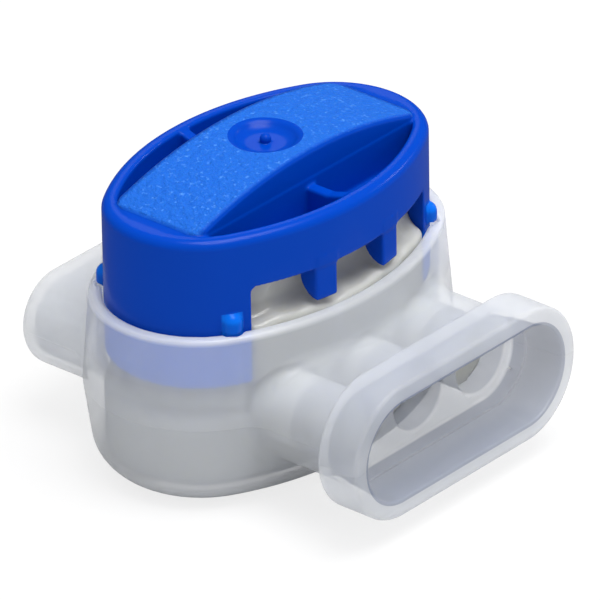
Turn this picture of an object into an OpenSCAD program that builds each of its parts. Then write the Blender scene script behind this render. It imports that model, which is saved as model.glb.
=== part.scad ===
// Gel-filled wire splice with three ports, its cap still up. Millimetres.
// X runs along the wires towards the mouth, Y across them and Z up.
// The origin is the middle of the cup's flat base.

/* [Cup] */
// Radius of the rounder arc at each end of the oval rim
cup_end_r = 5.76; // [5.66:0.02:5.96]
// How much longer the rim is, across the wires, than it is wide
cup_stretch = 7.68; // [7.68:0.48:8.64]
// Height of the rim above the base
cup_height = 10.1; // [9.6:0.1:12]
// Wall thickness at the rim
cup_wall = 0.7; // [0.65:0.05:1]
// Thickness of the floor
cup_floor = 1; // [0.6:0.1:1.2]
// How far the outside flares from the rim down to the parting plane
cup_flare = 0.4; // [0.2:0.05:0.6]
// How far the outside draws in again between the parting plane and the bottom round
cup_tuck = 0.4; // [0.1:0.05:0.6]
// Radius of the round between the outside and the base
cup_bottom_r = 2.1; // [1.5:0.1:2.8]

/* [Ports] */
// Distance between neighbouring wires
port_pitch = 5; // [4.8:0.1:5.2]
// Bore of a port
port_d = 3.9; // [3.5:0.1:4]
// Height of the wires above the base
port_axis_z = 5.1; // [4.8:0.1:5.4]
// Thickness of the neck's skin around the ports
neck_skin = 0.72; // [0.5:0.02:0.9]
// Distance from the middle of the cup to the face that the ports open in
port_face_x = 10.1; // [9.6:0.1:10.6]
// Distance from the middle of the cup to the closed end of the rear housing
rear_end_x = 10.7; // [10:0.1:12]
// Thickness of the rear housing's end wall
rear_wall = 0.8; // [0.6:0.1:1.2]
// Radius of the round at the rear housing's end
rear_round = 0.9; // [0.4:0.1:1.4]

/* [Mouth] */
// How far the collar stands out around the neck
collar_step = 1.1; // [0.6:0.1:1.2]
// Length of the collar along the wires
collar_length = 2.6; // [2:0.1:3]
// Depth of the mouth in front of the port face
mouth_depth = 3.2; // [2.6:0.1:3.6]
// Wall thickness at the mouth's rim
mouth_wall = 1; // [0.8:0.05:1.1]
// How much the mouth narrows from its rim to the step in front of the port face
mouth_taper = 0.22; // [0.1:0.02:0.3]
// Distance from the port face to the step
step_depth = 0.95; // [0.6:0.05:1.4]
// Width of the step
step_width = 0.12; // [0.06:0.02:0.2]

/* [Cap] */
// Running gap between the cap's skirt and the cup
cap_gap = 0.08; // [0.05:0.01:0.12]
// Stroke from the raised cap to the pressed one
cap_travel = 4.8; // [4:0.1:4.9]
// Height of the cap's shoulder above the rim while it is up
shoulder_rise = 4.75; // [4.7:0.05:5.2]
// Depth of the skirt below the rim while it is up
skirt_dip = 3.2; // [2.8:0.1:3.5]
// Wall thickness of the skirt
skirt_wall = 1; // [0.8:0.05:1.2]
// Radius of the round between the skirt and the ring on top
shoulder_round = 0.5; // [0.3:0.05:0.6]
// Width of the ring that runs round the top
ring_width = 0.85; // [0.7:0.05:1]
// Height of the thumb pad's crown above the ring
pad_rise = 1.5; // [1:0.1:1.8]
// Width of the thumb pad
pad_width = 5.9; // [5:0.1:6.4]
// Radius of the pad's crown, across the wires
pad_crown_r = 27.5; // [24:0.5:40]
// Depth of the pockets beside the pad, below the ring
pocket_depth = 2.1; // [1.4:0.1:2.2]
// Thickness of the rib that splits each pocket
pocket_rib = 0.7; // [0.5:0.1:1]
// Diameter of the dimple in the pad
dimple_d = 3.6; // [3:0.1:4.2]
// Depth of the dimple
dimple_depth = 0.45; // [0.3:0.05:0.6]
// Diameter of the gate's stub in the dimple
gate_d = 0.6; // [0.4:0.1:0.9]

/* [Notches] */
// Height of the notches' tops above the rim while the cap is up
notch_rise = 2.3; // [2.1:0.05:2.4]
// Width of the fingers between the notches
finger_width = 1.4; // [1:0.05:1.45]
// Depth of the fingers, inwards from the skirt's face
finger_depth = 1.5; // [1.3:0.05:1.6]
// Gap under the fingers, above the rim, while the cap is up
finger_clear = 0.4; // [0.3:0.05:0.8]

/* [Tabs] */
// Radius of the tabs that sit over the rim
tab_r = 0.55; // [0.45:0.05:0.6]
// Height of the tabs
tab_height = 1.05; // [0.9:0.05:1.3]
// How far the tabs' tips stay behind the rim's outer edge
tab_setback = 0.32; // [0.3:0.02:0.5]
// Running gap around each tab in its groove
tab_gap = 0.05; // [0.04:0.01:0.08]

/* [Contact] */
// Thickness of the contact's sheet
sheet = 0.5; // [0.4:0.05:0.6]
// Distance between the middles of its two plates
plate_spread = 4.6; // [4.2:0.1:5]
// Width of the slots that grip the conductors
slot_width = 0.6; // [0.4:0.05:0.8]
// Height of the slots' roots above the wires, with the cap pressed
slot_root = 0.7; // [0.5:0.1:1]
// How far the tines reach below the wires, with the cap pressed
tine_reach = 2.6; // [2.2:0.1:2.8]
// Width of the gap between neighbouring pairs of tines
tine_gap = 1; // [0.8:0.1:1.6]
// Width of each outer tine
tine_width = 1.3; // [1.1:0.05:1.4]

/* [Hidden] */
$fn = 96;
// Overlap that joins pieces of one moulding
eps = 0.02;
// How far a cutter runs past the surface that it opens
past = 1;
far = 40;
port_count = 3;

// The four arcs of the rim meet on lines of slope 33 : 56, with 65 as the third side, so that
// every centre and radius is a short decimal and the arcs join without a step
oval_unit = cup_stretch / 48;
end_y = 33 * oval_unit;
side_x = 56 * oval_unit;
side_r = cup_end_r + 65 * oval_unit;
half_x = side_r - side_x;
half_y = end_y + cup_end_r;
cup_width = 2 * half_x;
cup_length = 2 * half_y;

port_r = port_d / 2;
port_ys = [for (i = [0 : port_count - 1]) (i - (port_count - 1) / 2) * port_pitch];
finger_ys = [for (i = [0 : port_count - 2]) (port_ys[i] + port_ys[i + 1]) / 2];
port_span = port_ys[port_count - 1] - port_ys[0];
neck_r = port_r + neck_skin;
collar_r = neck_r + collar_step;
mouth_rim_x = port_face_x + mouth_depth;
collar_back_x = mouth_rim_x - collar_length;
step_x = port_face_x + step_depth;
mouth_r = collar_r - mouth_wall;
step_r = mouth_r - mouth_taper;
edge_round = 0.15;
floor_round = 0.9;

// Insets from the rim's outline
cavity_in = cup_wall;
skirt_in = cup_wall + cap_gap;
skirt_back = skirt_in + skirt_wall;
ring_in = skirt_in + ring_width;

skirt_bottom = cup_height - skirt_dip;
shoulder_z = cup_height + shoulder_rise;
ring_z = shoulder_z + shoulder_round;
pad_z = ring_z + pad_rise;
pocket_z = ring_z - pocket_depth;
deck_z = cup_height + notch_rise;
notch_y = port_span / 2 + port_pitch / 2 - finger_width / 2;
finger_z = cup_height + finger_clear;
finger_x = half_x - skirt_in - finger_depth;
finger_round = 1.3;
rib_drop = 0.05;
dimple_draft = 0.1;

// The wires lie on three cross ribs with a cradle for each
cradle_drop = 0.1;
rib_end_gap = 0.15;
rib_z = port_axis_z - cradle_drop;
rib_y = notch_y - rib_end_gap;
rib_thick = 0.9;
middle_rib_thick = 1.6;
rib_setback = 0.75;
outer_rib_x = finger_x - rib_setback;
rib_end_x = outer_rib_x + rib_thick / 2;
// The cradles and the rear pocket are wider than the ports
cradle_play = 0.25;
cradle_r = port_r + cradle_play;

tab_angle = 30;
tab_bottom = cup_height;

plate_x = plate_spread / 2;
contact_y = port_ys[port_count - 1] + slot_width / 2 + tine_width;
bridge_top = deck_z + sheet - eps;
tine_z = port_axis_z - tine_reach + cap_travel;
root_z = port_axis_z + slot_root + cap_travel;
fold_r = 0.7;
lead_in = 0.5;
seat_gap = 0.03;
cheek_lap = 0.25;
cheek_wall = 0.6;
cheek_thick = 1.1;
cheek_y = contact_y - cheek_lap;
cheek_z = cup_height + cradle_drop;
cheek_x = plate_x + sheet / 2 + cheek_wall;

gel_gap = 0.05;
gel_x = finger_x - gel_gap;
gel_level = cup_height + cradle_drop;
// The gel leaves the wires' way in free from the middle of the outer ribs outwards
channel_r = cradle_r + 2 * gel_gap;

// Solid on the oval plan, turned about the centres of its four arcs. The child is its section:
// x is measured outwards from the rim's outline and y is the height.
module on_oval() {
    join = [2 * side_x, 3 * end_y];
    for (turn = [0, 180]) rotate(turn) {
        intersection() {
            translate([-side_x, 0, 0]) rotate(-90) rotate_extrude(angle = 180)
                arc_section(side_r, side_x - 1) children();
            prism([[-side_x, 0], [join.x, -join.y], join]);
        }
        intersection() {
            translate([0, end_y, 0]) rotate_extrude() arc_section(cup_end_r, 0) children();
            prism([[0, end_y], join, [join.x, far], [-join.x, far], [-join.x, join.y]]);
        }
    }
}

module prism(points) {
    linear_extrude(2 * far, center = true) polygon(points);
}

// The section set at its arc's radius and cut off at an inner radius
module arc_section(r, inner) {
    intersection() {
        translate([r, 0]) children();
        translate([inner, -far]) square([2 * far, 2 * far]);
    }
}

// Upright solid on the oval, inset from the rim's outline, from z0 to z1
module oval_block(inset, z0, z1) {
    on_oval() translate([-far - inset, z0]) square([far, z1 - z0]);
}

// Solid with a stadium section, along X. The child is half its section along the axis:
// x is measured from the line through the ports, y is the place along X.
module on_stadium() {
    half = port_span / 2;
    translate([0, 0, port_axis_z]) rotate([90, 0, 90]) {
        for (side = [0, 1]) mirror([side, 0, 0])
            translate([half, 0, 0]) rotate(-90) rotate_extrude(angle = 180) children();
        translate([-half, 0, 0]) rotate([90, 0, 90]) linear_extrude(2 * half) {
            children();
            mirror([1, 0]) children();
        }
    }
}

// Half section of a stadium bar from x0 to x1 whose edges are rounded
module bar_section(r, x0, x1, round0, round1) {
    translate([0, x0 + round0]) square([r, x1 - x0 - round0 - round1]);
    translate([0, x0]) square([r - round0, round0 + eps]);
    translate([0, x1 - round1 - eps]) square([r - round1, round1 + eps]);
    if (round0 > 0) translate([r - round0, x0 + round0]) circle(round0);
    if (round1 > 0) translate([r - round1, x1 - round1]) circle(round1);
}

module cup_section() {
    waist = cup_flare - cup_tuck;
    polygon([
        [-far, 0],
        [waist - cup_bottom_r, 0],
        [waist, cup_bottom_r],
        [cup_flare, port_axis_z],
        [0, cup_height],
        [-far, cup_height]
    ]);
    translate([waist - cup_bottom_r, cup_bottom_r]) circle(cup_bottom_r);
}

module cavity_section() {
    translate([-far - cavity_in, cup_floor + floor_round]) square([far, cup_height]);
    translate([-far - cavity_in - floor_round, cup_floor]) square([far, cup_height]);
    translate([-cavity_in - floor_round, cup_floor + floor_round]) circle(floor_round);
}

module mouth_section() {
    polygon([
        [0, port_face_x],
        [step_r - step_width, port_face_x],
        [step_r - step_width, step_x],
        [step_r, step_x],
        [mouth_r, mouth_rim_x],
        [mouth_r, mouth_rim_x + past],
        [0, mouth_rim_x + past]
    ]);
}

// Posts where the tabs stand, at the four corners of the oval
module at_tabs() {
    reach = cup_end_r - tab_setback - tab_r;
    for (sx = [0, 1], sy = [0, 1])
        mirror([sx, 0, 0]) mirror([0, sy, 0])
            translate([reach * cos(tab_angle), end_y + reach * sin(tab_angle), 0]) children();
}

module wire_ribs() {
    intersection() {
        oval_block(cavity_in - eps, cup_floor - eps, rib_z);
        union() {
            for (x = [-outer_rib_x, outer_rib_x])
                translate([x - rib_thick / 2, -rib_y, 0]) cube([rib_thick, 2 * rib_y, rib_z]);
            translate([-middle_rib_thick / 2, -rib_y, 0]) cube([middle_rib_thick, 2 * rib_y, rib_z]);
        }
    }
}

module body() {
    color([0.86, 0.87, 0.9, 0.6])
    difference() {
        union() {
            difference() {
                union() {
                    on_oval() cup_section();
                    on_stadium() bar_section(neck_r, -rear_end_x, mouth_rim_x - edge_round, rear_round, 0);
                    on_stadium() bar_section(collar_r, collar_back_x, mouth_rim_x, edge_round, edge_round);
                }
                on_oval() cavity_section();
            }
            wire_ribs();
        }
        on_stadium() mouth_section();
        on_stadium() bar_section(cradle_r, rear_wall - rear_end_x, -rib_end_x - eps, 0, 0);
        for (y = port_ys) {
            translate([-rib_end_x - 2 * eps, y, port_axis_z]) rotate([0, 90, 0])
                cylinder(r = cradle_r, h = 2 * rib_end_x + 4 * eps);
            translate([rib_end_x + eps, y, port_axis_z]) rotate([0, 90, 0])
                cylinder(r = port_r, h = port_face_x - rib_end_x);
        }
        at_tabs()
            translate([0, 0, tab_bottom - cap_travel - tab_gap])
                cylinder(r = tab_r + tab_gap, h = cup_height);
    }
}

module cap_section() {
    translate([-far - skirt_in, skirt_bottom]) square([far, shoulder_z - skirt_bottom]);
    translate([-far - skirt_in - shoulder_round, skirt_bottom]) square([far, ring_z - skirt_bottom]);
    translate([-skirt_in - shoulder_round, shoulder_z]) circle(shoulder_round);
}

module pad() {
    intersection() {
        translate([-pad_width / 2, -half_y, deck_z]) cube([pad_width, cup_length, pad_z]);
        translate([0, 0, pad_z - pad_crown_r]) rotate([0, 90, 0])
            cylinder(r = pad_crown_r, h = cup_width, center = true, $fn = 360);
        oval_block(ring_in - eps, deck_z, pad_z + past);
    }
}

module pockets() {
    difference() {
        oval_block(ring_in, pocket_z, ring_z + past);
        translate([-pad_width / 2, -half_y, 0]) cube([pad_width, cup_length, far]);
        translate([-half_x, -pocket_rib / 2, 0]) cube([cup_width, pocket_rib, ring_z - rib_drop]);
    }
}

module dimple() {
    translate([0, 0, pad_z - dimple_depth]) difference() {
        cylinder(r1 = dimple_d / 2 - dimple_depth, r2 = dimple_d / 2 + dimple_draft, h = dimple_depth + dimple_draft);
        translate([0, 0, -eps]) cylinder(d = gate_d, h = dimple_depth / 2);
        translate([0, 0, dimple_depth / 2 - eps]) sphere(d = gate_d);
    }
}

module fingers() {
    intersection() {
        oval_block(skirt_in, finger_z, deck_z + cradle_drop);
        for (side = [0, 1], y = finger_ys) mirror([side, 0, 0])
            translate([0, y + finger_width / 2, 0]) rotate([90, 0, 0]) linear_extrude(finger_width) {
                translate([finger_x + finger_round, finger_z]) square([far, far]);
                translate([finger_x, finger_z + finger_round]) square([far, far]);
                translate([finger_x + finger_round, finger_z + finger_round]) circle(finger_round);
            }
    }
}

// Blocks under the cap whose grooves grip the ends of the contact's plates
module cheeks() {
    for (side = [0, 1]) mirror([0, side, 0]) difference() {
        translate([-cheek_x, cheek_y, cheek_z]) cube([2 * cheek_x, cheek_thick, deck_z - cheek_z + eps]);
        contact_envelope(seat_gap);
    }
}

module contact_envelope(gap) {
    for (x = [-plate_x, plate_x])
        translate([x - sheet / 2 - gap, -contact_y - gap, tine_z - gap])
            cube([sheet + 2 * gap, 2 * (contact_y + gap), deck_z - tine_z + 2 * gap]);
}

module cap() {
    color([0.1, 0.32, 0.86]) {
        difference() {
            union() {
                difference() {
                    on_oval() cap_section();
                    pockets();
                }
                pad();
            }
            oval_block(skirt_back, skirt_bottom - past, deck_z);
            translate([-half_x, -notch_y, skirt_bottom - past])
                cube([cup_width, 2 * notch_y, deck_z - skirt_bottom + past]);
            translate([-plate_x - sheet / 2 - seat_gap, -contact_y - seat_gap, deck_z - eps])
                cube([2 * plate_x + sheet + 2 * seat_gap, 2 * (contact_y + seat_gap), sheet + eps]);
            dimple();
        }
        fingers();
        cheeks();
        at_tabs() translate([0, 0, tab_bottom]) {
            cylinder(r = tab_r, h = tab_height - tab_r);
            translate([0, 0, tab_height - tab_r]) sphere(tab_r);
        }
    }
}

// Section of the folded sheet, across the wires
module fold_section() {
    outer = plate_x + sheet / 2;
    difference() {
        union() {
            translate([-outer, tine_z]) square([2 * outer, bridge_top - fold_r - tine_z]);
            translate([fold_r - outer, tine_z]) square([2 * (outer - fold_r), bridge_top - tine_z]);
            for (x = [fold_r - outer, outer - fold_r]) translate([x, bridge_top - fold_r]) circle(fold_r);
        }
        translate([sheet - outer, tine_z - past])
            square([2 * (outer - sheet), bridge_top - sheet - tine_z + past]);
    }
}

// Outline cut out of both plates for one wire: the slot, its round root and its lead-in
module slot_outline() {
    translate([-slot_width / 2, tine_z - past])
        square([slot_width, root_z - slot_width / 2 - tine_z + past]);
    translate([0, root_z - slot_width / 2]) circle(slot_width / 2);
    polygon([
        [-slot_width / 2 - lead_in, tine_z - eps],
        [slot_width / 2 + lead_in, tine_z - eps],
        [slot_width / 2, tine_z + 2 * lead_in],
        [-slot_width / 2, tine_z + 2 * lead_in]
    ]);
}

module contact() {
    color([0.78, 0.76, 0.7])
    difference() {
        rotate([90, 0, 0]) translate([0, 0, -contact_y]) linear_extrude(2 * contact_y) fold_section();
        translate([-far / 2, 0, 0]) rotate([90, 0, 90]) linear_extrude(far) {
            for (y = port_ys) translate([y, 0]) slot_outline();
            for (y = finger_ys)
                translate([y - tine_gap / 2, tine_z - past]) square([tine_gap, root_z - tine_z + past]);
        }
    }
}

module gel() {
    color([0.72, 0.71, 0.66, 0.7])
    difference() {
        union() {
            intersection() {
                oval_block(skirt_back + gel_gap, rib_z + eps, deck_z - gel_gap);
                translate([-gel_x, -half_y, 0]) cube([2 * gel_x, cup_length, far]);
            }
            intersection() {
                oval_block(skirt_in, rib_z + eps, gel_level);
                translate([-half_x, gel_gap - notch_y, 0])
                    cube([cup_width, 2 * (notch_y - gel_gap), far]);
            }
        }
        contact_envelope(gel_gap);
        for (side = [0, 1], y = port_ys) mirror([side, 0, 0])
            translate([outer_rib_x, y, port_axis_z]) rotate([0, 90, 0])
                cylinder(r = channel_r, h = far);
        for (side = [0, 1]) mirror([0, side, 0])
            translate([-cheek_x - gel_gap, cheek_y - gel_gap, cheek_z - gel_gap])
                cube([2 * (cheek_x + gel_gap), cheek_thick + 2 * gel_gap, far]);
    }
}

body();
cap();
contact();
gel();
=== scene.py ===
"""A gel-filled wire splice with three ports, its cap up, as a Blender scene.

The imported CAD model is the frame: it gives the box, the bodies and the joint. Each piece is
built over its CAD solid in millimetres and scaled to metres at the end.
"""

import math

import bpy
import numpy as np
from mathutils import Matrix, Vector


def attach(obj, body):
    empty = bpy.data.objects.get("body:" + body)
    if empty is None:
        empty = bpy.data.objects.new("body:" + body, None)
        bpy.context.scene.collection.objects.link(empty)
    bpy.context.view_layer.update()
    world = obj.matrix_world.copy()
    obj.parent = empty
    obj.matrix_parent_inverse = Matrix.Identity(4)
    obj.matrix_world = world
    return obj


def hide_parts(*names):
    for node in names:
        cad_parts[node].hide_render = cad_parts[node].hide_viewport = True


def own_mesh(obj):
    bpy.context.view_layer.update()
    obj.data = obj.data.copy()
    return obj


bl_info = {
    "name": "Gel-filled wire splice",
    "version": (1, 0, 0),
    "blender": (4, 5, 0),
    "location": "3D View > Sidebar > Splice",
    "description": "Builds a three-wire gel splice and its studio",
    "category": "Add Mesh",
}

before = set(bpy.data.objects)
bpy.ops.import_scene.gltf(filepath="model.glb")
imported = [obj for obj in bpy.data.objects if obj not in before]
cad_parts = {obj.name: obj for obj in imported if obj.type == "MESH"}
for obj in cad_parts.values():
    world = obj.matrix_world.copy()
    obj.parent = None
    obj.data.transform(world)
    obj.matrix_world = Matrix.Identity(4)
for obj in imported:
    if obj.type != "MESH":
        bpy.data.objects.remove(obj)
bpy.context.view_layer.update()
MM = 0.001

# The rim's plan: four arcs that meet on lines of slope 33 : 56
END_R = 5.76
END_Y = 5.28
SIDE_X = 8.96
SIDE_R = 16.16
HALF_X = 7.2

PORT_Z = 5.1
PORT_PITCH = 5.0
PORT_R = 1.95
CRADLE_R = 2.2
PORT_FACE_X = 10.1
STEP_X = 11.05
NECK_R = 2.67
COLLAR_R = 3.77
COLLAR_BACK_X = 10.7
MOUTH_X = 13.3
MOUTH_R = 2.77
STEP_R = 2.55
STEP_WIDTH = 0.12
REAR_X = -10.7
REAR_WALL = 0.8
REAR_ROUND = 0.9
NECK_END_X = MOUTH_X - 0.6

RIM_Z = 10.1
FLOOR_Z = 1.0
RIB_Z = 5.0
BOTTOM_R = 2.1
CUP_WALL = 0.7
CUP_FLARE = 0.4
RIB_X = 4.17
RIB_HALF = 0.45
MIDDLE_RIB_HALF = 0.8
RIB_Y = 6.65
SKIRT_IN = 0.78
SKIRT_BACK = 1.78
RING_IN = 1.63
SKIRT_Z = 6.9
DECK_Z = 12.4
RING_Z = 15.35
POCKET_Z = 13.25
PAD_Z = 16.85
PAD_HALF = 2.95
CROWN_R = 27.5
POCKET_RIB_HALF = 0.35
DIMPLE_R = 1.35
DIMPLE_DEPTH = 0.45
NUB_R = 0.3
NUB_SINK = 0.26
NOTCH_Y = 6.8
FINGER_Z = 10.5
FINGER_X = 4.92
FINGER_HALF = 0.7
TAB_R = 0.55
TAB_TOP = 11.15
TAB_REACH = END_R - 0.32 - TAB_R
TAB_X = TAB_REACH * math.cos(math.radians(30))
TAB_Y = END_Y + TAB_REACH * math.sin(math.radians(30))
GROOVE_FOOT_Z = 5.25

PLATE_X = 2.3
SHEET = 0.5
CONTACT_Y = 6.6
TINE_Z = 7.3
ROOT_Z = 10.6
BRIDGE_Z = 12.88
GEL_FOOT_Z = 5.02
GEL_TOP_Z = 12.35
GEL_GAP = 0.03

FLOOR_HALF = 600.0
SENSOR = 36.0
FOCAL_PIXELS = 11683
PICTURE_PIXELS = 600
LOOK_AT = (2.0486, 0.1321, 7.8173)
# Name, place in millimetres, diameter in millimetres and power in watts
LAMPS = (
    ("overhead", (100, 20, 420), 300, 1.9),
    ("back", (-220, 250, 190), 90, 0.02),
    ("glint", (120, 330, 160), 40, 0.12),
)


# Fields: each is a distance in millimetres, negative inside the solid

def meet(a, b, r=0.0):
    """Where two fields overlap, with a convex round of radius r between them."""
    if r <= 0:
        return np.maximum(a, b)
    u, v = np.maximum(r + a, 0), np.maximum(r + b, 0)
    return np.minimum(-r, np.maximum(a, b)) + np.sqrt(u * u + v * v)


def join(a, b, r=0.0):
    """Two fields together, with a fillet of radius r in the corner between them."""
    return -meet(-a, -b, r)


def cut(a, b, r=0.0):
    """Field a without field b."""
    return meet(a, -b, r)


def oval(x, y):
    """Distance outwards from the rim's outline."""
    ax, ay = np.abs(x), np.abs(y)
    at_end = SIDE_X * (ay - END_Y) - END_Y * ax > 0
    return np.where(at_end, np.hypot(ax, ay - END_Y) - END_R, np.hypot(ax + SIDE_X, ay) - SIDE_R)


def stadium(y, z):
    """Distance from the line that joins the three ports."""
    return np.hypot(np.maximum(np.abs(y) - PORT_PITCH, 0), z - PORT_Z)


def from_wire(y, z):
    """Distance from the axis of the nearest of the three wires."""
    side = np.abs(y)
    return np.hypot(side - np.where(side > PORT_PITCH / 2, PORT_PITCH, 0.0), z - PORT_Z)


def beside(q, z, a, b):
    """Distance to the right of the line from a to b."""
    dq, dz = b[0] - a[0], b[1] - a[1]
    return ((q - a[0]) * dz - (z - a[1]) * dq) / math.hypot(dq, dz)


def within(v, low, high):
    """The layer between two parallel planes."""
    return meet(low - v, v - high)


def housing_field(x, y, z, fillet, edge):
    """The housing: cup, neck, collar and rear end, less the cavity, mouth, ports and grooves."""
    q, s = oval(x, y), stadium(y, z)
    lower = beside(q, z, (0, BOTTOM_R), (CUP_FLARE, PORT_Z))
    side = meet(lower, beside(q, z, (CUP_FLARE, PORT_Z), (0, RIM_Z)))
    cup = meet(meet(side, -z, BOTTOM_R), z - RIM_Z, 0.2)
    bar = meet(meet(s - NECK_R, REAR_X - x, REAR_ROUND), x - NECK_END_X)
    collar = meet(meet(s - COLLAR_R, x - MOUTH_X, 0.2), COLLAR_BACK_X - x, 0.2)
    solid = join(join(cup, bar, fillet), collar, 0.3)
    cavity = meet(q + CUP_WALL, FLOOR_Z - z, 0.9)
    ribs = join(np.abs(np.abs(x) - RIB_X) - RIB_HALF, np.abs(x) - MIDDLE_RIB_HALF)
    ribs = meet(meet(ribs, np.abs(y) - RIB_Y), z - RIB_Z, 0.1)
    solid = cut(solid, cut(cavity, ribs, 0.15), 0.22)
    funnel = s - STEP_R - (x - STEP_X) * (MOUTH_R - STEP_R) / (MOUTH_X - STEP_X)
    mouth = join(meet(s - STEP_R + STEP_WIDTH, PORT_FACE_X - x, 0.1), meet(funnel, STEP_X - x))
    solid = cut(solid, mouth, edge)
    across = from_wire(y, z)
    port = meet(across - PORT_R, within(x, RIB_X + RIB_HALF, PORT_FACE_X + 0.5))
    cradle = meet(across - CRADLE_R, np.abs(x) - RIB_X - RIB_HALF - GEL_GAP)
    pocket = meet(s - CRADLE_R, within(x, REAR_X + REAR_WALL, -RIB_X - RIB_HALF))
    solid = cut(solid, join(join(port, cradle), pocket), edge)
    groove = np.hypot(np.abs(x) - TAB_X, np.abs(y) - TAB_Y) - TAB_R - 0.05
    return cut(solid, meet(groove, GROOVE_FOOT_Z - z), 0.05)


def fingers_field(x, y, z, q):
    """The cap's four fingers, which stand between the wires."""
    block = meet(FINGER_X - np.abs(x), FINGER_Z - z, 1.3)
    block = meet(block, np.abs(np.abs(y) - PORT_PITCH / 2) - FINGER_HALF, 0.12)
    return meet(meet(block, q + SKIRT_IN, 0.12), z - DECK_Z - 0.6)


def cap_field(x, y, z, pad_edge, ring_edge):
    """The cap: skirt and ring with two pockets, the arched pad, fingers, cheeks and tabs."""
    q = oval(x, y)
    ax, ay = np.abs(x), np.abs(y)
    shell = meet(meet(q + SKIRT_IN, z - RING_Z, 0.5), SKIRT_Z - z, 0.15)
    pocket = meet(meet(q + RING_IN, POCKET_Z - z, 0.35), z - 20)
    rib_top = RING_Z - 0.1 - 0.35 * np.clip((HALF_X - RING_IN - ax) / 1.2, 0, 1)
    rib = meet(ay - POCKET_RIB_HALF, z - rib_top, 0.15)
    solid = cut(shell, cut(cut(pocket, rib, 0.2), ax - PAD_HALF, 0.2), ring_edge)
    crown = np.hypot(y, z - PAD_Z + CROWN_R) - CROWN_R
    pad = meet(meet(ax - PAD_HALF, crown, pad_edge), meet(q + RING_IN - 0.05, DECK_Z - z), 0.2)
    solid = join(solid, pad, 0.12)
    solid = cut(solid, meet(q + SKIRT_BACK, z - DECK_Z, 0.3), 0.1)
    solid = cut(solid, meet(ay - NOTCH_Y, z - DECK_Z, 0.3), 0.1)
    bowl = (np.hypot(x, y) - DIMPLE_R - (z - PAD_Z + DIMPLE_DEPTH)) * math.sqrt(0.5)
    bowl = meet(bowl, PAD_Z - DIMPLE_DEPTH - z, 0.25)
    nub = np.sqrt(x * x + y * y + (z - PAD_Z + NUB_SINK) ** 2) - NUB_R
    solid = cut(solid, bowl, 0.18)
    solid = join(solid, nub, 0.08)
    solid = join(solid, fingers_field(x, y, z, q), 0.15)
    cheeks = meet(meet(ax - 3.15, within(ay, 6.35, 7.45)), within(z, RIM_Z + 0.1, DECK_Z + 0.2))
    plates = meet(np.abs(ax - PLATE_X) - 0.28, ay - CONTACT_Y - 0.03)
    recess = meet(meet(ax - PLATE_X - 0.28, ay - CONTACT_Y - 0.03), z - DECK_Z - SHEET)
    solid = cut(join(solid, cheeks), join(meet(plates, z - DECK_Z - SHEET), meet(recess, DECK_Z - 0.1 - z)))
    dome = np.maximum(z - TAB_TOP + TAB_R, 0)
    tab = np.sqrt((ax - TAB_X) ** 2 + (ay - TAB_Y) ** 2 + dome ** 2) - TAB_R
    return join(solid, meet(tab, RIM_Z - z, 0.1), 0.1)


def ripple(x, y, phase):
    """A slow, uneven swell of a few millimetres' length, from -1 to 1."""
    return (np.sin(1.9 * x + 0.8 * y + phase) + np.sin(1.3 * y - 1.1 * x + 2.1 * phase)
            + np.sin(0.7 * x + 2.6 * y - phase)) / 3


def gel_field(x, y, z):
    """The gel above the ribs, with room for the fingers, the contact, the cheeks and the wires."""
    q = oval(x, y)
    ax, ay = np.abs(x), np.abs(y)
    level = RIM_Z + 0.08 + 0.18 * ripple(x, y, 0.6)
    pool = meet(meet(q + SKIRT_IN + GEL_GAP, ay - NOTCH_Y + 0.06, 0.3), z - level, 0.3)
    core = meet(meet(ax - 4.45 - 0.2 * ripple(y, z, 1.7), q + SKIRT_BACK + 0.06), z - GEL_TOP_Z, 0.2)
    solid = join(pool, core, 0.9)
    solid = meet(solid, GEL_FOOT_Z - z)
    wire = from_wire(y, z) - CRADLE_R - 0.1
    solid = cut(solid, meet(wire, RIB_X - ax), 0.1)
    solid = cut(solid, fingers_field(x, y, z, q) - 0.05)
    plates = meet(meet(np.abs(ax - PLATE_X) - 0.3, ay - CONTACT_Y - 0.05), TINE_Z - 0.05 - z)
    cheeks = meet(meet(ax - 3.2, within(ay, 6.3, 7.5)), RIM_Z + 0.05 - z)
    return meet(cut(cut(solid, plates), cheeks), z - GEL_TOP_Z)


def gel_bed_field(x, y, z):
    """The gel between the wire ribs, and the plugs of gel that stand in the ports."""
    q = oval(x, y)
    outer_ribs = np.abs(np.abs(x) - RIB_X) - RIB_HALF - GEL_GAP
    ribs = join(outer_ribs, np.abs(x) - MIDDLE_RIB_HALF - GEL_GAP)
    bed = meet(meet(q + CUP_WALL + GEL_GAP, FLOOR_Z + GEL_GAP - z, 0.9), z - RIB_Z)
    bed = cut(bed, meet(meet(ribs, np.abs(y) - RIB_Y - GEL_GAP), z - RIB_Z))
    # The gel reaches a different depth in each port, and leans a little
    left, right = -PORT_PITCH / 2, PORT_PITCH / 2
    depth = np.where(y < left, 8.9, np.where(y < right, 7.6, 8.3)) - 0.12 * (z - PORT_Z)
    across = from_wire(y, z)
    plug = meet(across - PORT_R + 0.02, x - depth - 0.1 * across ** 2, 0.1)
    return join(bed, meet(plug, RIB_X + RIB_HALF + GEL_GAP - x), 0.1)


# Meshes

def ticks(*stops):
    """Grid lines along one axis: (start, step) pairs, and the end as the last number."""
    lines = []
    for (start, step), after in zip(stops[:-1], stops[1:]):
        end = after[0] if isinstance(after, tuple) else after
        count = max(1, round((end - start) / step))
        lines += [start + (end - start) * i / count for i in range(count)]
    return np.array(lines + [stops[-1]])


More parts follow.
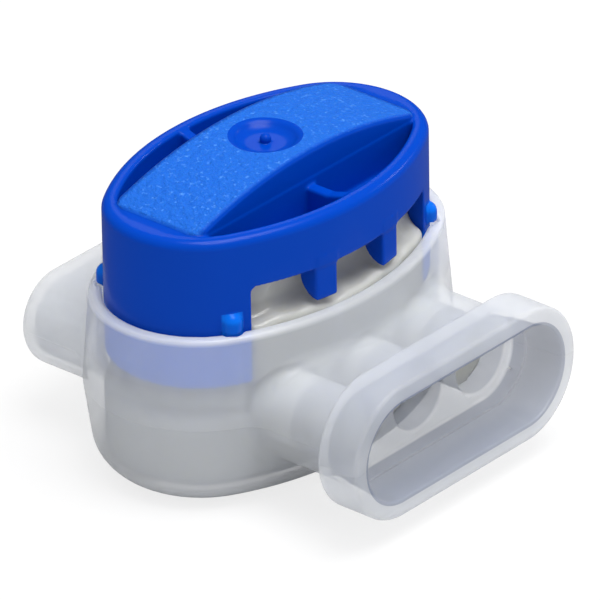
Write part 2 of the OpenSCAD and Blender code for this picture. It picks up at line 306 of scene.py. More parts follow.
def skin(field, xs, ys, zs):
    """Vertices and quads on the field's zero surface: one vertex in each cell that it passes."""
    f = field(xs[:, None, None], ys[None, :, None], zs[None, None, :])
    f = np.broadcast_to(f, (len(xs), len(ys), len(zs))).astype(np.float32)
    inside = f < 0
    shape = tuple(n - 1 for n in f.shape)
    corners = [(i, j, k) for i in (0, 1) for j in (0, 1) for k in (0, 1)]

    def at(a, c):
        return a[c[0]:c[0] + shape[0], c[1]:c[1] + shape[1], c[2]:c[2] + shape[2]]

    count = sum(at(inside, c).astype(np.int8) for c in corners)
    cells = np.argwhere((count > 0) & (count < 8))
    index = np.full(shape, -1, np.int64)
    index[tuple(cells.T)] = np.arange(len(cells))
    axes = (xs, ys, zs)
    total = np.zeros((len(cells), 3))
    crossings = np.zeros(len(cells))
    sides = [(a, b) for a in corners for b in corners
             if sum(b) == sum(a) + 1 and all(m <= n for m, n in zip(a, b))]
    for a, b in sides:
        pa, pb = cells + a, cells + b
        fa, fb = f[tuple(pa.T)], f[tuple(pb.T)]
        hit = (fa < 0) != (fb < 0)
        t = np.where(hit, fa / np.where(hit, fa - fb, 1), 0)
        for n in range(3):
            va, vb = axes[n][pa[:, n]], axes[n][pb[:, n]]
            total[:, n] += np.where(hit, va + t * (vb - va), 0)
        crossings += hit
    points = total / crossings[:, None]
    quads = []
    for n in range(3):
        low = [slice(1, -1)] * 3
        high = [slice(1, -1)] * 3
        low[n], high[n] = slice(0, -1), slice(1, None)
        a, b = inside[tuple(low)], inside[tuple(high)]
        edges = np.argwhere(a != b)
        outwards = a[tuple(edges.T)]
        edges = edges + [0 if m == n else 1 for m in range(3)]
        u, v = np.eye(3, dtype=int)[(n + 1) % 3], np.eye(3, dtype=int)[(n + 2) % 3]
        ring = [index[tuple((edges - d).T)] for d in (u + v, v, 0 * u, u)]
        quad = np.stack(ring, 1)
        quad[~outwards] = quad[~outwards][:, ::-1]
        quads.append(quad)
    return points, np.concatenate(quads)


def slope(field, p, h=0.01):
    """The field's gradient at the points p, from differences over a span of 2 h."""
    out = np.empty_like(p)
    for n in range(3):
        step = np.zeros(3)
        step[n] = h
        a, b = p + step, p - step
        out[:, n] = (field(*a.T) - field(*b.T)) / (2 * h)
    return out


def settle(field, p, reach):
    """Moves the vertices onto the field's zero surface, none of them further than reach."""
    start = p.copy()
    for _ in range(6):
        g = slope(field, p)
        p = p - field(*p.T)[:, None] * g / np.maximum((g * g).sum(1), 0.25)[:, None]
        away = p - start
        length = np.linalg.norm(away, axis=1)
        p = start + away * np.minimum(1, reach / np.maximum(length, 1e-9))[:, None]
    return p


def new_piece(name, points, faces, material, normals=None):
    """A mesh object at the origin; the points are in millimetres and the faces all alike."""
    mesh = bpy.data.meshes.new(name)
    points, faces = np.asarray(points, np.float32), np.asarray(faces, np.int32)
    sides = faces.shape[1]
    mesh.vertices.add(len(points))
    mesh.vertices.foreach_set("co", (points * MM).ravel())
    mesh.loops.add(faces.size)
    mesh.loops.foreach_set("vertex_index", faces.ravel())
    mesh.polygons.add(len(faces))
    mesh.polygons.foreach_set("loop_start", np.arange(0, faces.size, sides, dtype=np.int32))
    mesh.polygons.foreach_set("use_smooth", np.ones(len(faces), bool))
    mesh.update(calc_edges=True)
    mesh.validate()
    if normals is not None and len(mesh.vertices) == len(normals):
        mesh.normals_split_custom_set_from_vertices(normals.astype(np.float32))
    mesh.materials.append(material)
    piece = bpy.data.objects.new(name, mesh)
    bpy.context.scene.collection.objects.link(piece)
    return piece


def moulded(name, field, xs, ys, zs, material, reach=0.12):
    """A piece with the form of a field, its normals taken from the field itself."""
    points, quads = skin(field, xs, ys, zs)
    points = settle(field, points, reach)
    normals = slope(field, points, 0.02)
    normals /= np.maximum(np.linalg.norm(normals, axis=1), 1e-9)[:, None]
    return new_piece(name, points, quads, material, normals)


# Materials

def hex_colour(code, alpha=1.0):
    """An sRGB hex code as linear RGBA."""
    parts = [int(code[i:i + 2], 16) / 255 for i in (1, 3, 5)]
    return [c / 12.92 if c <= 0.04045 else ((c + 0.055) / 1.055) ** 2.4 for c in parts] + [alpha]


def opaque(colour):
    """A colour property as RGBA."""
    return [*colour[:3], 1.0]


def add(tree, kind, inputs=None, **settings):
    """A node with its settings; each input is a value or the socket that feeds it."""
    made = tree.nodes.new(kind)
    for key, value in settings.items():
        setattr(made, key, value)
    for key, value in (inputs or {}).items():
        if isinstance(value, bpy.types.NodeSocket):
            tree.links.new(value, made.inputs[key])
        else:
            made.inputs[key].default_value = value
    return made


def new_material(name):
    """An empty node material and its tree."""
    material = bpy.data.materials.new(name)
    material.use_nodes = True
    material.node_tree.nodes.clear()
    return material, material.node_tree


def finish_material(tree, shader):
    """Joins a shader to the material's output."""
    add(tree, "ShaderNodeOutputMaterial", {"Surface": shader.outputs[0]})


def milky_polypropylene(finish):
    """Natural polypropylene, injection moulded: milky, with a soft satin skin."""
    material, tree = new_material("milky_polypropylene")
    place = add(tree, "ShaderNodeTexCoord").outputs["Object"]
    # Slow clouds, about 4 mm across, let the sheen vary as on a moulded part
    cloud = add(tree, "ShaderNodeTexNoise", {"Vector": place, "Scale": 260.0, "Detail": 3.0})
    rough = add(tree, "ShaderNodeMapRange", {"Value": cloud.outputs[0], "To Min": 0.3, "To Max": 0.42})
    # The tool's fine grain breaks up the glints. It is drawn at 0.4 mm, coarser than the real
    # one. A raised hair line at the ports' height is where the mould parted
    grain = add(tree, "ShaderNodeTexNoise", {"Vector": place, "Scale": 2500.0, "Detail": 2.0})
    split = add(tree, "ShaderNodeSeparateXYZ", {"Vector": place})
    off = add(tree, "ShaderNodeMath", {0: split.outputs["Z"], 1: PORT_Z * MM}, operation="SUBTRACT")
    away = add(tree, "ShaderNodeMath", {0: off.outputs[0]}, operation="ABSOLUTE")
    ridge = add(tree, "ShaderNodeMapRange", {
        "Value": away.outputs[0], "From Min": 0.0, "From Max": 0.07 * MM, "To Min": 1.0, "To Max": 0.0,
    }, interpolation_type="SMOOTHSTEP")
    height = add(tree, "ShaderNodeMath", {
        0: grain.outputs[0], 1: 0.1, 2: ridge.outputs[0]}, operation="MULTIPLY_ADD")
    bump = add(tree, "ShaderNodeBump", {"Height": height.outputs[0], "Strength": 0.5, "Distance": 0.04 * MM})
    # Painted shade: the walls inside the mouth and the ports are painted a darker grey-blue, as
    # shade. A wall counts as inside by its distance from the row of ports, which is larger beyond the step
    side = add(tree, "ShaderNodeMath", {0: split.outputs["Y"]}, operation="ABSOLUTE")
    side = add(tree, "ShaderNodeMath", {0: side.outputs[0], 1: PORT_PITCH * MM}, operation="SUBTRACT")
    side = add(tree, "ShaderNodeMath", {0: side.outputs[0], 1: 0.0}, operation="MAXIMUM")
    from_row = add(tree, "ShaderNodeCombineXYZ", {"X": side.outputs[0], "Y": off.outputs[0]})
    from_row = add(tree, "ShaderNodeVectorMath", {0: from_row.outputs[0]}, operation="LENGTH")
    past_step = add(tree, "ShaderNodeMath", {0: split.outputs["X"], 1: 10.85 * MM}, operation="GREATER_THAN")
    reach = add(tree, "ShaderNodeMath", {
        0: past_step.outputs[0], 1: 0.35 * MM, 2: 2.6 * MM}, operation="MULTIPLY_ADD")
    inside = add(tree, "ShaderNodeMath", {
        0: from_row.outputs["Value"], 1: reach.outputs[0]}, operation="LESS_THAN")
    deep = add(tree, "ShaderNodeMapRange", {
        "Value": split.outputs["X"], "From Min": 10.15 * MM, "From Max": 10.3 * MM})
    deep_port = add(tree, "ShaderNodeMapRange", {
        "Value": split.outputs["X"], "From Min": 10.05 * MM, "From Max": 9.9 * MM, "To Max": 0.6})
    past_cup = add(tree, "ShaderNodeMath", {0: split.outputs["X"], 1: 7.4 * MM}, operation="GREATER_THAN")
    port = add(tree, "ShaderNodeMath", {0: deep_port.outputs[0], 1: past_cup.outputs[0]}, operation="MULTIPLY")
    deep = add(tree, "ShaderNodeMath", {0: deep.outputs[0], 1: port.outputs[0]}, operation="MAXIMUM")
    painted_shade = add(tree, "ShaderNodeMath", {0: inside.outputs[0], 1: deep.outputs[0]}, operation="MULTIPLY")
    # The grey-blue mixed in here is painted shade on the mouth and port walls
    tone = add(tree, "ShaderNodeMix", {
        "Factor": painted_shade.outputs[0], "A": opaque(finish.housing), "B": hex_colour("#8E96A8"),
    }, data_type="RGBA")
    # How milky the wall looks: the free part of the cup's wall, above the gel bed, shows the
    # skirt through it, and the rim and the foot are seen along the wall, through more plastic
    in_cup = add(tree, "ShaderNodeMapRange", {
        "Value": split.outputs["X"], "From Min": 7.6 * MM, "From Max": 5.2 * MM})
    free = add(tree, "ShaderNodeMapRange", {
        "Value": split.outputs["Z"], "From Min": 6.5 * MM, "From Max": 7.3 * MM})
    free = add(tree, "ShaderNodeMath", {0: free.outputs[0], 1: in_cup.outputs[0]}, operation="MULTIPLY")
    rim = add(tree, "ShaderNodeMapRange", {
        "Value": split.outputs["Z"], "From Min": 9.75 * MM, "From Max": 9.95 * MM})
    rim = add(tree, "ShaderNodeMath", {0: rim.outputs[0], 1: in_cup.outputs[0]}, operation="MULTIPLY")
    thick = add(tree, "ShaderNodeMapRange", {"Value": free.outputs[0], "To Min": 0.45, "To Max": 0.34})
    thick = add(tree, "ShaderNodeMath", {
        0: rim.outputs[0], 1: 0.42, 2: thick.outputs[0]}, operation="MULTIPLY_ADD")
    foot = add(tree, "ShaderNodeMapRange", {
        "Value": split.outputs["Z"], "From Min": 2.0 * MM, "From Max": 0.7 * MM, "To Max": 0.36})
    thick = add(tree, "ShaderNodeMath", {0: foot.outputs[0], 1: thick.outputs[0]}, operation="ADD")
    thick = add(tree, "ShaderNodeMath", {
        0: painted_shade.outputs[0], 1: 0.2, 2: thick.outputs[0]}, operation="MULTIPLY_ADD")
    finish_material(tree, add(tree, "ShaderNodeBsdfPrincipled", {
        "Base Color": tone.outputs[2], "Roughness": rough.outputs[0], "IOR": 1.49,
        "Transmission Weight": 0.2, "Alpha": thick.outputs[0], "Normal": bump.outputs[0],
        "Subsurface Weight": 0.6, "Subsurface Radius": (1.0, 1.0, 1.1), "Subsurface Scale": 0.0012,
    }))
    return material


def blue_polypropylene(finish):
    """Dyed polypropylene with a satin skin and a spark-eroded thumb pad."""
    material, tree = new_material("blue_polypropylene")
    place = add(tree, "ShaderNodeTexCoord").outputs["Object"]
    split = add(tree, "ShaderNodeSeparateXYZ", {"Vector": place})
    # The pad's spark-eroded grain is a bump drawn at 0.4 mm. The pad is painted a lighter blue as
    # painted sheen on the top, and its flecks, at 0.25 mm, are painted glints, as sparks of light
    # the grain would catch. Both are coarser than the real ones, and only on the pad, round the dimple
    coarse = add(tree, "ShaderNodeTexNoise", {
        "Vector": place, "Scale": 2600.0, "Detail": 4.0, "Roughness": 0.65})
    across = add(tree, "ShaderNodeMath", {0: split.outputs["X"]}, operation="ABSOLUTE")
    along = add(tree, "ShaderNodeMath", {0: split.outputs["Y"]}, operation="ABSOLUTE")
    in_x = add(tree, "ShaderNodeMapRange", {
        "Value": across.outputs[0], "From Min": 2.6 * MM, "From Max": 2.9 * MM, "To Min": 1.0, "To Max": 0.0})
    in_y = add(tree, "ShaderNodeMapRange", {
        "Value": along.outputs[0], "From Min": 8.5 * MM, "From Max": 8.8 * MM, "To Min": 1.0, "To Max": 0.0})
    above = add(tree, "ShaderNodeMath", {0: split.outputs["Z"], 1: 15.4 * MM}, operation="GREATER_THAN")
    flat = add(tree, "ShaderNodeVectorMath", {0: place, 1: (1.0, 1.0, 0.0)}, operation="MULTIPLY")
    radius = add(tree, "ShaderNodeVectorMath", {0: flat.outputs[0]}, operation="LENGTH")
    outside = add(tree, "ShaderNodeMath", {
        0: radius.outputs["Value"], 1: 1.95 * MM}, operation="GREATER_THAN")
    mask = add(tree, "ShaderNodeMath", {0: in_x.outputs[0], 1: in_y.outputs[0]}, operation="MULTIPLY")
    mask = add(tree, "ShaderNodeMath", {0: mask.outputs[0], 1: above.outputs[0]}, operation="MULTIPLY")
    mask = add(tree, "ShaderNodeMath", {0: mask.outputs[0], 1: outside.outputs[0]}, operation="MULTIPLY")
    height = add(tree, "ShaderNodeMath", {0: coarse.outputs[0], 1: mask.outputs[0]}, operation="MULTIPLY")
    bump = add(tree, "ShaderNodeBump", {"Height": height.outputs[0], "Strength": 1.0, "Distance": 0.3 * MM})
    rough = add(tree, "ShaderNodeMapRange", {"Value": mask.outputs[0], "To Min": 0.24, "To Max": 0.5})
    # Painted sheen: the pad's top is painted a lighter blue
    tone = add(tree, "ShaderNodeMix", {
        "Factor": mask.outputs[0], "A": opaque(finish.cap), "B": hex_colour("#1C68D4"),
    }, data_type="RGBA")
    # Painted glints: small flecks of a paler blue on the pad
    painted_glint = add(tree, "ShaderNodeTexNoise", {
        "Vector": place, "Scale": 4200.0, "Detail": 2.0, "Roughness": 0.5})
    painted_glint = add(tree, "ShaderNodeMapRange", {"Value": painted_glint.outputs[0], "From Min": 0.6, "From Max": 0.74})
    painted_glint = add(tree, "ShaderNodeMath", {0: painted_glint.outputs[0], 1: mask.outputs[0]}, operation="MULTIPLY")
    tone = add(tree, "ShaderNodeMix", {
        "Factor": painted_glint.outputs[0], "A": tone.outputs[2], "B": hex_colour("#4A8CEA"),
    }, data_type="RGBA")
    # Painted light: the skirt inside the cup, lit from all sides through the milky wall, and the
    # thin tabs, which let light through, are painted a paler blue than the thick walls above
    sunk = add(tree, "ShaderNodeMapRange", {
        "Value": split.outputs["Z"], "From Min": 10.0 * MM, "From Max": 9.4 * MM})
    near_tab = add(tree, "ShaderNodeCombineXYZ", {"X": across.outputs[0], "Y": along.outputs[0]})
    near_tab = add(tree, "ShaderNodeVectorMath", {
        0: near_tab.outputs[0], 1: (TAB_X * MM, TAB_Y * MM, 0.0)}, operation="DISTANCE")
    in_tab = add(tree, "ShaderNodeMapRange", {
        "Value": near_tab.outputs["Value"], "From Min": 0.62 * MM, "From Max": 0.5 * MM, "To Max": 0.5})
    below = add(tree, "ShaderNodeMath", {0: split.outputs["Z"], 1: TAB_TOP * MM}, operation="LESS_THAN")
    in_tab = add(tree, "ShaderNodeMath", {0: in_tab.outputs[0], 1: below.outputs[0]}, operation="MULTIPLY")
    painted_light = add(tree, "ShaderNodeMath", {0: sunk.outputs[0], 1: in_tab.outputs[0]}, operation="MAXIMUM")
    # The paler blue mixed in here is painted light on the sunk skirt and the tabs
    tone = add(tree, "ShaderNodeMix", {
        "Factor": painted_light.outputs[0], "A": tone.outputs[2], "B": hex_colour("#0A84FF"),
    }, data_type="RGBA")
    finish_material(tree, add(tree, "ShaderNodeBsdfPrincipled", {
        "Base Color": tone.outputs[2], "Roughness": rough.outputs[0], "IOR": 1.49,
        "Specular IOR Level": 0.1, "Normal": bump.outputs[0],
        "Subsurface Weight": 0.1, "Subsurface Radius": (0.2, 0.4, 1.0), "Subsurface Scale": 0.0005,
    }))
    return material


def tinned_brass(finish):
    """Brass sheet, blanked and folded, with a dull tin plating."""
    material, tree = new_material("tinned_brass")
    place = add(tree, "ShaderNodeTexCoord").outputs["Object"]
    # Long streaks up the plates are what rolling leaves under the tin
    stretch = add(tree, "ShaderNodeMapping", {"Vector": place, "Scale": (1.0, 1.0, 0.08)})
    drawn = add(tree, "ShaderNodeTexNoise", {"Vector": stretch.outputs[0], "Scale": 5000.0, "Detail": 3.0})
    rough = add(tree, "ShaderNodeMapRange", {"Value": drawn.outputs[0], "To Min": 0.28, "To Max": 0.5})
    bump = add(tree, "ShaderNodeBump", {"Height": drawn.outputs[0], "Strength": 0.3, "Distance": 0.02 * MM})
    finish_material(tree, add(tree, "ShaderNodeBsdfPrincipled", {
        "Base Color": opaque(finish.contact), "Metallic": 1.0, "Roughness": rough.outputs[0],
        "Normal": bump.outputs[0],
    }))
    return material


def sealing_gel(finish):
    """Silicone-like sealing grease: cloudy, faintly olive, with slow swirls and a wet surface."""
    material, tree = new_material("sealing_gel")
    place = add(tree, "ShaderNodeTexCoord").outputs["Object"]
    # Swirls about 2.5 mm across tint the gel and tilt its wet glints
    swirl = add(tree, "ShaderNodeTexNoise", {
        "Vector": place, "Scale": 420.0, "Detail": 3.0, "Distortion": 0.6})
    tone = add(tree, "ShaderNodeMix", {
        "Factor": swirl.outputs[0], "A": hex_colour("#BEBFB9"), "B": opaque(finish.gel),
    }, data_type="RGBA")
    bump = add(tree, "ShaderNodeBump", {"Height": swirl.outputs[0], "Strength": 0.6, "Distance": 0.15 * MM})
    finish_material(tree, add(tree, "ShaderNodeBsdfPrincipled", {
        "Base Color": tone.outputs[2], "Roughness": 0.1, "IOR": 1.43,
        "Transmission Weight": 0.1, "Normal": bump.outputs[0],
        "Subsurface Weight": 0.7, "Subsurface Radius": (1.0, 0.95, 0.8), "Subsurface Scale": 0.002,
    }))
    return material


# Properties

class SpliceFinish(bpy.types.PropertyGroup):
    """Colours of the pieces"""
    housing: bpy.props.FloatVectorProperty(
        name="Housing", description="Colour of the milky housing", subtype="COLOR", size=3,
        min=0, max=1, default=hex_colour("#E8ECF4")[:3])
    cap: bpy.props.FloatVectorProperty(
        name="Cap", description="Colour of the cap", subtype="COLOR", size=3,
        min=0, max=1, default=hex_colour("#0041B5")[:3])
    contact: bpy.props.FloatVectorProperty(
        name="Contact", description="Colour of the tinned contact", subtype="COLOR", size=3,
        min=0, max=1, default=hex_colour("#C8C6BE")[:3])
    gel: bpy.props.FloatVectorProperty(
        name="Gel", description="Colour of the sealing gel", subtype="COLOR", size=3,
        min=0, max=1, default=hex_colour("#DDDDD6")[:3])


class SpliceSizes(bpy.types.PropertyGroup):
    """Rounds and the slots that the solids leave open, and the camera's place"""
    neck_fillet: bpy.props.FloatProperty(
        name="Neck fillet", description="Fillet between the cup and its neck, in millimetres",
        default=0.7, min=0.1, max=1.5)
    mouth_edge: bpy.props.FloatProperty(
        name="Mouth edge", description="Round on the edges of the mouth and ports, in millimetres",
        default=0.1, min=0.02, max=0.3)
    pad_edge: bpy.props.FloatProperty(
        name="Pad edge", description="Round on the long edges of the thumb pad, in millimetres",
        default=0.22, min=0.05, max=0.5)
    ring_edge: bpy.props.FloatProperty(
        name="Ring edge", description="Round on the inner edge of the cap's ring, in millimetres",
        default=0.18, min=0.05, max=0.4)
    slot_width: bpy.props.FloatProperty(
        name="Slot width", description="Width of the slots in the contact", subtype="DISTANCE",
        default=0.6 * MM, min=0.3 * MM, max=0.9 * MM)
    view_azimuth: bpy.props.FloatProperty(
        name="Azimuth", description="Camera's angle round the object, from the side to the mouth",
        subtype="ANGLE", default=math.radians(40.872))
    view_elevation: bpy.props.FloatProperty(
        name="Elevation", description="Camera's angle above the floor",
        subtype="ANGLE", default=math.radians(28.524))
    view_roll: bpy.props.FloatProperty(
        name="Roll", description="Camera's tilt about its own axis",
        subtype="ANGLE", default=math.radians(-0.936))
    view_distance: bpy.props.FloatProperty(
        name="Distance", description="Camera's distance from the object", subtype="DISTANCE",
        default=602.18 * MM)


# Operators

class SPLICE_OT_housing(bpy.types.Operator):
    """Build the milky housing: oval cup, neck with three ports, collar, mouth and rear end"""
    bl_idname = "splice.housing"
    bl_label = "Housing"

    def execute(self, context):
        sizes, finish = context.scene.splice_sizes, context.scene.splice_finish
        # The grid is finest at the mouth's edges and step, and at the rim
        xs = ticks((-11.0, 0.14), (-9.6, 0.22), (-7.7, 0.18), (-5.6, 0.22), (5.4, 0.18), (9.9, 0.1),
                   (11.2, 0.18), (12.8, 0.09), 13.46)
        ys = ticks((-11.7, 0.165), (-8.9, 0.19), (8.9, 0.165), 11.7)
        zs = ticks((-0.17, 0.17), (9.01, 0.109), 10.318)

        def form(x, y, z):
            return housing_field(x, y, z, sizes.neck_fillet, sizes.mouth_edge)

        piece = moulded("housing", form, xs, ys, zs, milky_polypropylene(finish))
        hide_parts("body")
        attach(piece, "housing")
        return {"FINISHED"}


class SPLICE_OT_cap(bpy.types.Operator):
    """Build the blue cap: skirt, ring, arched thumb pad, pockets, tabs and fingers"""
    bl_idname = "splice.cap"
    bl_label = "Cap"

    def execute(self, context):
        sizes, finish = context.scene.splice_sizes, context.scene.splice_finish
        xs = ticks((-6.6, 0.13), 6.6)
        ys = ticks((-10.5, 0.14), 10.5)
        zs = ticks((6.6, 0.16), (12.0, 0.12), (15.0, 0.09), 17.0)

        def form(x, y, z):
            return cap_field(x, y, z, sizes.pad_edge, sizes.ring_edge)

        piece = moulded("push_cap", form, xs, ys, zs, blue_polypropylene(finish))
        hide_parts("cap")
        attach(piece, "plunger")
        return {"FINISHED"}


def folded_sheet():
    """The contact before its slots are blanked: two plates and a bridge with rounded folds."""
    outer, fold = PLATE_X + SHEET / 2, 0.7

    def half_outline(edge, top, r):
        turns = [math.radians(a) for a in range(0, 91, 15)]
        return [(edge, TINE_Z)] + [(edge - r + r * math.cos(a), top - r + r * math.sin(a)) for a in turns]

    outline = half_outline(outer, BRIDGE_Z, fold)
    inside = half_outline(outer - SHEET, BRIDGE_Z - SHEET, fold - SHEET)
    count = len(outline)
    ring = outline + [(-x, z) for x, z in outline[::-1]] + [(-x, z) for x, z in inside] + inside[::-1]
    total = len(ring)
    points = [(x, y, z) for y in (-CONTACT_Y, CONTACT_Y) for x, z in ring]
    faces = [[i, (i + 1) % total, (i + 1) % total + total, i + total] for i in range(total)]
    for k in range(2 * count - 1):
        a, b = k, total - 1 - k
        faces.append([a, b, b - 1, a + 1])
        faces.append([a + total + 1, b + total - 1, b + total, a + total])
    return points, faces


def blanking_tree(material, sizes):
    """Node tree that blanks one slot for each wire, and the gaps between the tines, out of a sheet."""
    tree = bpy.data.node_groups.new("blank_slots", "GeometryNodeTree")
    face = tree.interface
    face.new_socket("Geometry", in_out="INPUT", socket_type="NodeSocketGeometry")
    face.new_socket("Wires", in_out="INPUT", socket_type="NodeSocketInt").default_value = 3
    for name, value in (("Pitch", PORT_PITCH * MM), ("Slot width", sizes.slot_width), ("Gap width", 1 * MM)):
        face.new_socket(name, in_out="INPUT", socket_type="NodeSocketFloat").default_value = value
    face.new_socket("Geometry", in_out="OUTPUT", socket_type="NodeSocketGeometry")
    given = add(tree, "NodeGroupInput").outputs
    fewer = add(tree, "ShaderNodeMath", {0: given["Wires"], 1: 1.0}, operation="SUBTRACT")

    def row(count, cutter):
        less = add(tree, "ShaderNodeMath", {0: count, 1: 1.0}, operation="SUBTRACT")
        span = add(tree, "ShaderNodeMath", {0: less.outputs[0], 1: given["Pitch"]}, operation="MULTIPLY")
        start = add(tree, "ShaderNodeMath", {0: span.outputs[0], 1: -0.5}, operation="MULTIPLY")
        first = add(tree, "ShaderNodeCombineXYZ", {"Y": start.outputs[0]})
        step = add(tree, "ShaderNodeCombineXYZ", {"Y": given["Pitch"]})
        line = add(tree, "GeometryNodeMeshLine", {
            "Count": count, "Start Location": first.outputs[0], "Offset": step.outputs[0]})
        return add(tree, "GeometryNodeInstanceOnPoints", {"Points": line.outputs[0], "Instance": cutter})

    def block(width, low, high):
        size = add(tree, "ShaderNodeCombineXYZ", {"X": 8 * MM, "Y": width, "Z": (high - low) * MM})
        cube = add(tree, "GeometryNodeMeshCube", {"Size": size.outputs[0]})
        return add(tree, "GeometryNodeTransform", {
            "Geometry": cube.outputs[0], "Translation": (0, 0, (low + high) / 2 * MM)}).outputs[0]

    def rod(vertices, radius, depth, height):
        bar = add(tree, "GeometryNodeMeshCylinder", {
            "Vertices": vertices, "Radius": radius, "Depth": depth * MM})
        return add(tree, "GeometryNodeTransform", {
            "Geometry": bar.outputs[0], "Rotation": (0, math.pi / 2, 0),
            "Translation": (0, 0, height * MM)}).outputs[0]

    # Each slot has a round root and a lead-in at the tips: a square rod set on its edge
    half = add(tree, "ShaderNodeMath", {0: given["Slot width"], 1: 0.5}, operation="MULTIPLY")
    slots = row(given["Wires"], block(given["Slot width"], TINE_Z - 1, ROOT_Z - 0.3))
    roots = row(given["Wires"], rod(32, half.outputs[0], 8.1, ROOT_Z - 0.3))
    leads = row(given["Wires"], rod(4, 1.05 * MM, 8.2, TINE_Z - 0.25))
    gaps = row(fewer.outputs[0], block(given["Gap width"], TINE_Z - 1.2, ROOT_Z))
    mesh = given["Geometry"]
    for cutters in (slots, roots, leads, gaps):
        real = add(tree, "GeometryNodeRealizeInstances", {"Geometry": cutters.outputs[0]})
        blank = add(tree, "GeometryNodeMeshBoolean", {
            "Mesh 1": mesh, "Mesh 2": real.outputs[0]}, operation="DIFFERENCE")
        mesh = blank.outputs[0]
    real = add(tree, "GeometryNodeRealizeInstances", {"Geometry": mesh})
    dressed = add(tree, "GeometryNodeSetMaterial", {"Geometry": real.outputs[0], "Material": material})
    add(tree, "NodeGroupOutput", {0: dressed.outputs[0]})
    return tree


def applied(piece, name):
    """The piece with its modifiers' result as a plain mesh."""
    bpy.context.view_layer.update()
    graph = bpy.context.evaluated_depsgraph_get()
    mesh = bpy.data.meshes.new_from_object(piece.evaluated_get(graph))
    bpy.data.objects.remove(piece)
    mesh.name = name
    plain = bpy.data.objects.new(name, mesh)
    bpy.context.scene.collection.objects.link(plain)
    return plain


class SPLICE_OT_contact(bpy.types.Operator):
    """Build the tinned contact: a folded sheet with one slot for each wire in both plates"""
    bl_idname = "splice.contact"
    bl_label = "Contact"

    def execute(self, context):
        sizes, finish = context.scene.splice_sizes, context.scene.splice_finish
        material = tinned_brass(finish)
        points, faces = folded_sheet()
        sheet = new_piece("sheet", points, faces, material)
        modifier = sheet.modifiers.new("blank", "NODES")
        modifier.node_group = blanking_tree(material, sizes)
        piece = applied(sheet, "contact_comb")
        for polygon in piece.data.polygons:
            polygon.use_smooth = False
        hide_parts("contact")
        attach(piece, "plunger")
        return {"FINISHED"}


class SPLICE_OT_gel(bpy.types.Operator):
    """Build the sealing gel: the block under the cap, and the bed round the wire ribs"""
    bl_idname = "splice.gel"
    bl_label = "Gel"

    def execute(self, context):
        material = sealing_gel(context.scene.splice_finish)
        xs = ticks((-6.6, 0.17), 6.6)
        ys = ticks((-10.0, 0.18), 10.0)
        zs = ticks((4.8, 0.2), (9.4, 0.13), 12.6)
        block = moulded("gel_block", gel_field, xs, ys, zs, material)
        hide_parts("gel")
        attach(block, "housing")
        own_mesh(block)
        xs = ticks((-6.6, 0.22), (4.6, 0.15), 9.9)
        ys = ticks((-10.6, 0.22), 10.6)
        zs = ticks((0.8, 0.2), 7.3)
        bed = moulded("gel_bed", gel_bed_field, xs, ys, zs, material)
        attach(bed, "housing")
        return {"FINISHED"}


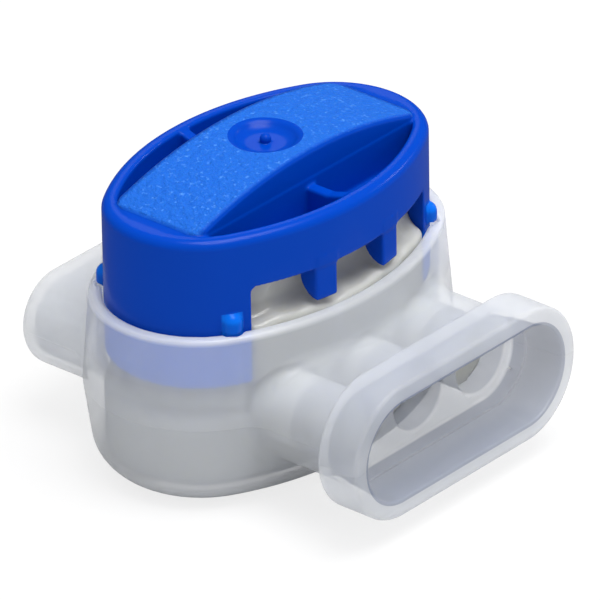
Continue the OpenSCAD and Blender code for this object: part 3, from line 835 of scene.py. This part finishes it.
class SPLICE_OT_stage(bpy.types.Operator):
    """Build the floor, soft studio light, world and camera"""
    bl_idname = "splice.stage"
    bl_label = "Stage"

    def execute(self, context):
        scene, sizes = context.scene, context.scene.splice_sizes
        # The camera sees a floor that is mostly its own glow, so the background is white and the
        # shadow stays pale. Glossy rays see it dim, so the pieces' colours aren't washed out
        floor_material, tree = new_material("pale_floor")
        path = add(tree, "ShaderNodeLightPath")
        seen = add(tree, "ShaderNodeMath", {
            0: path.outputs["Is Camera Ray"], 1: path.outputs["Is Transmission Ray"]}, operation="MAXIMUM")
        share = add(tree, "ShaderNodeMath", {0: seen.outputs[0], 1: 0.72}, operation="MULTIPLY")
        matt = add(tree, "ShaderNodeBsdfDiffuse", {"Color": (0.66, 0.66, 0.66, 1)})
        share = add(tree, "ShaderNodeMath", {
            0: share.outputs[0], 1: path.outputs["Is Glossy Ray"]}, operation="MAXIMUM")
        level = add(tree, "ShaderNodeMapRange", {
            "Value": path.outputs["Is Glossy Ray"], "To Min": 1.08, "To Max": 0.15})
        glow = add(tree, "ShaderNodeEmission", {"Color": (1, 1, 1, 1), "Strength": level.outputs[0]})
        finish_material(tree, add(tree, "ShaderNodeMixShader", {
            0: share.outputs[0], 1: matt.outputs[0], 2: glow.outputs[0]}))
        corners = [(x * FLOOR_HALF, y * FLOOR_HALF, 0) for x, y in ((-1, -1), (1, -1), (1, 1), (-1, 1))]
        floor = new_piece("floor", corners, [[0, 1, 2, 3]], floor_material)

        world = bpy.data.worlds.new("studio")
        world.use_nodes = True
        world.node_tree.nodes.clear()
        path = add(world.node_tree, "ShaderNodeLightPath")
        dim = add(world.node_tree, "ShaderNodeMapRange", {
            "Value": path.outputs["Is Glossy Ray"], "To Min": 0.56, "To Max": 0.04})
        sky = add(world.node_tree, "ShaderNodeBackground", {
            "Color": (1, 1, 1, 1), "Strength": dim.outputs[0]})
        add(world.node_tree, "ShaderNodeOutputWorld", {"Surface": sky.outputs[0]})
        scene.world = world

        for name, place, size, power in LAMPS:
            lamp = bpy.data.lights.new(name, "AREA")
            lamp.shape, lamp.size, lamp.energy = "DISK", size * MM, power
            light = bpy.data.objects.new(name, lamp)
            light.location = Vector(place) * MM
            aim = (Vector((0, 0, 8)) * MM - light.location).to_track_quat("-Z", "Y")
            light.rotation_euler = aim.to_euler()
            scene.collection.objects.link(light)

        az, el, roll = sizes.view_azimuth, sizes.view_elevation, sizes.view_roll
        ahead = Vector((-math.cos(el) * math.sin(az), math.cos(el) * math.cos(az), -math.sin(el)))
        level = Vector((math.cos(az), math.sin(az), 0))
        upright = level.cross(ahead)
        right = level * math.cos(roll) + upright * math.sin(roll)
        up = upright * math.cos(roll) - level * math.sin(roll)
        camera = bpy.data.cameras.new("camera")
        camera.sensor_width = SENSOR
        camera.lens = SENSOR * FOCAL_PIXELS / PICTURE_PIXELS
        camera.clip_start, camera.clip_end = 0.05, 10.0
        eye = bpy.data.objects.new("camera", camera)
        centre = Vector(LOOK_AT) * MM
        turn = Matrix((right, up, -ahead)).transposed().to_4x4()
        eye.matrix_world = Matrix.Translation(centre - ahead * sizes.view_distance) @ turn
        scene.collection.objects.link(eye)
        scene.camera = eye
        scene.view_settings.view_transform = "Standard"
        return {"FINISHED"}


class SPLICE_PT_panel(bpy.types.Panel):
    """Sidebar panel with the sizes, the colours and a button for each operator"""
    bl_label = "Gel-filled splice"
    bl_idname = "SPLICE_PT_panel"
    bl_space_type = "VIEW_3D"
    bl_region_type = "UI"
    bl_category = "Splice"

    def draw(self, context):
        for group in (context.scene.splice_sizes, context.scene.splice_finish):
            for name in group.bl_rna.properties.keys():
                if name not in {"rna_type", "name"}:
                    self.layout.prop(group, name)
        for operator in OPERATORS:
            self.layout.operator(operator.bl_idname)


OPERATORS = (SPLICE_OT_stage, SPLICE_OT_housing, SPLICE_OT_cap, SPLICE_OT_contact, SPLICE_OT_gel)
CLASSES = (SpliceFinish, SpliceSizes, *OPERATORS, SPLICE_PT_panel)


def register():
    for cls in CLASSES:
        bpy.utils.register_class(cls)
    bpy.types.Scene.splice_finish = bpy.props.PointerProperty(type=SpliceFinish)
    bpy.types.Scene.splice_sizes = bpy.props.PointerProperty(type=SpliceSizes)


def unregister():
    del bpy.types.Scene.splice_sizes
    del bpy.types.Scene.splice_finish
    for cls in reversed(CLASSES):
        bpy.utils.unregister_class(cls)


def main():
    register()
    bpy.ops.splice.stage()
    bpy.ops.splice.housing()
    bpy.ops.splice.cap()
    bpy.ops.splice.contact()
    bpy.ops.splice.gel()
    bpy.context.view_layer.update()


if __name__ == "__main__":
    main()
